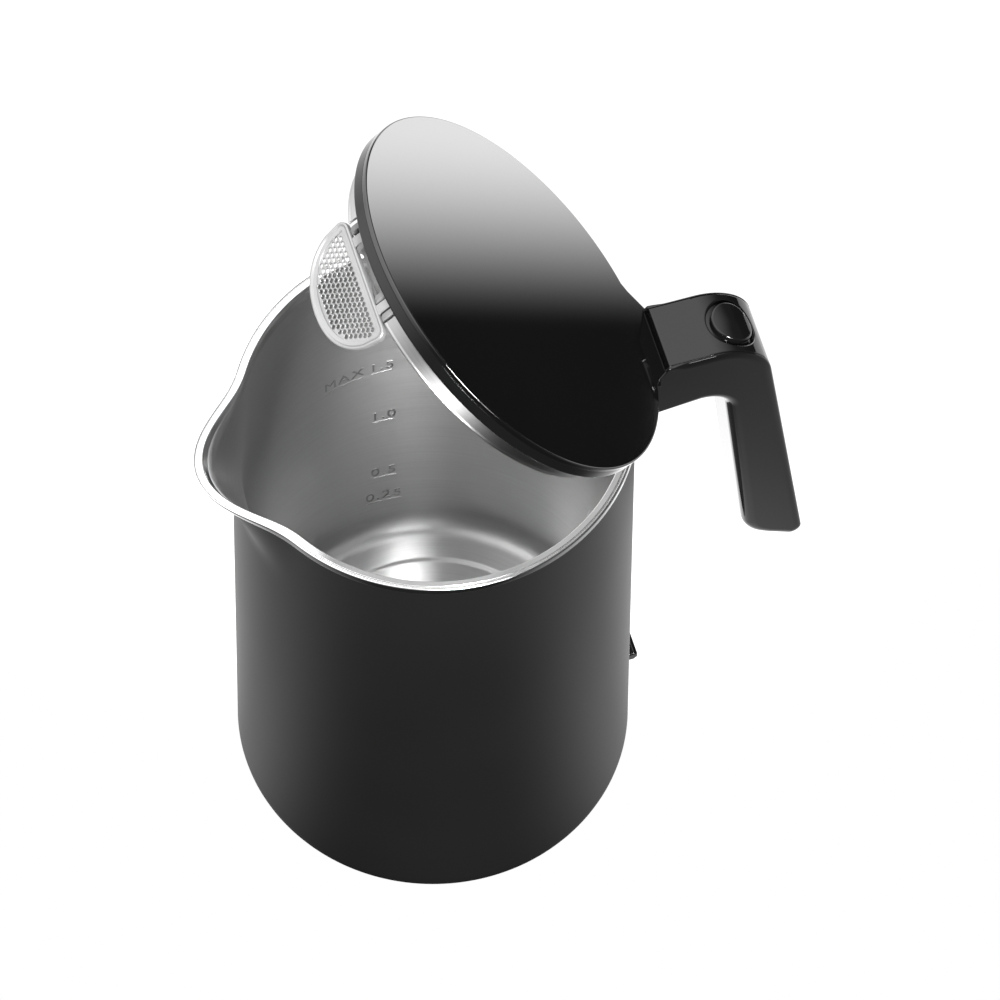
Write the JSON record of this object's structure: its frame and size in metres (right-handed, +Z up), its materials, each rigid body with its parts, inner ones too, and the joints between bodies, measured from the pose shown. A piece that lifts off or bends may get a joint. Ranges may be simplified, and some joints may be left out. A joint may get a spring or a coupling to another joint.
{
  "type": "electric kettle",
  "caption": "Cordless electric kettle: cylindrical double-walled body with poured lip, open hinged lid with spout filter, and a free-hanging top handle with a release button.",
  "frame": {"origin": "bottom centre of the bounding box of the kettle with its lid open, on the surface that the feet stand on; the body's axis is 23.07 mm towards -X from it", "axes": "+X towards the handle, spout towards -X, +Z up, symmetric left and right of the XZ plane except for the steam tube and base details"},
  "size_m": [0.2184, 0.1426, 0.3419],
  "materials": {
    "painted_black": "soft matt black powder coat",
    "gloss_black": "piano black, high gloss",
    "matt_black": "fine moulded grain",
    "polished_steel": "polished stainless steel",
    "brushed_steel": "stainless steel brushed round the axis",
    "heater_plate": "plain",
    "heater_sheath": "dull drawn sheath",
    "control_plastic": "plain moulded",
    "brass": "plain",
    "spring_steel": "zinc plated",
    "silicone": "matt silicone",
    "grey_plastic": "satin light grey"
  },
  "bodies": {
    "body": {"outer_shell": "painted_black", "inner_vessel": "brushed_steel", "rim_ring": "polished_steel", "steam_tube": "brushed_steel", "steam_tube_seal": "silicone", "base_cover": "matt_black", "base_chassis": "control_plastic", "heating_plate": "heater_plate", "heating_element": "heater_sheath", "connector_socket": "control_plastic", "centre_contact": "brass", "thermal_control": "control_plastic", "cutout_bimetal_1": "spring_steel", "cutout_bimetal_2": "spring_steel", "element_terminal_1": "brass", "element_terminal_2": "brass", "base_screw_1": "spring_steel", "base_screw_2": "spring_steel", "base_screw_3": "spring_steel", "foot_1": "silicone", "foot_2": "silicone", "foot_3": "silicone", "lever_pin": "spring_steel", "steam_switch": "control_plastic", "steam_bimetal": "spring_steel", "handle_shell": "gloss_black", "handle_cover": "gloss_black", "handle_bracket": "brushed_steel", "bracket_screw_1": "spring_steel", "bracket_screw_2": "spring_steel", "handle_screw": "spring_steel", "button_guide": "matt_black", "button_spring": "spring_steel", "hinge_pin": "polished_steel"},
    "lid": {"lid_plate": "gloss_black", "lid_housing": "gloss_black", "lid_skirt": "brushed_steel", "lid_pan": "brushed_steel", "filter_holder": "grey_plastic", "hinge_spring": "spring_steel"},
    "filter": {"filter_frame": "grey_plastic", "filter_mesh": "polished_steel"},
    "button": {"release_button": "gloss_black"},
    "latch": {"latch_slide": "control_plastic"},
    "lever": {"power_lever": "gloss_black"}
  },
  "joints": [
    {"name": "lid_hinge", "type": "hinge", "parent": "body", "child": "lid", "pos_m": [0.05513, 0, 0.22966], "axis": [0, -1, 0], "range_deg": [0, 47.5], "stiffness_Nm_per_rad": 0.25, "springref_deg": -51.57},
    {"name": "filter_pull", "type": "slide", "parent": "lid", "child": "filter", "axis": [-0.7379, 0, -0.6749], "range_m": [0, 0.03]},
    {"name": "button_press", "type": "slide", "parent": "body", "child": "button", "axis": [-0.342, 0, -0.9397], "range_m": [0, 0.0025], "stiffness_N_per_m": 400, "deforming": ["button_spring"]},
    {"name": "latch_travel", "type": "slide", "parent": "body", "child": "latch", "axis": [1, 0, 0], "range_m": [0, 0.0025]},
    {"name": "power_lever_tilt", "type": "hinge", "parent": "body", "child": "lever", "pos_m": [0.03793, 0, 0.027], "axis": [0, 1, 0], "range_deg": [0, 14]}
  ],
  "couplings": [
    {"joint": "latch_travel", "follows": "button_press", "ratio": 1}
  ]
}
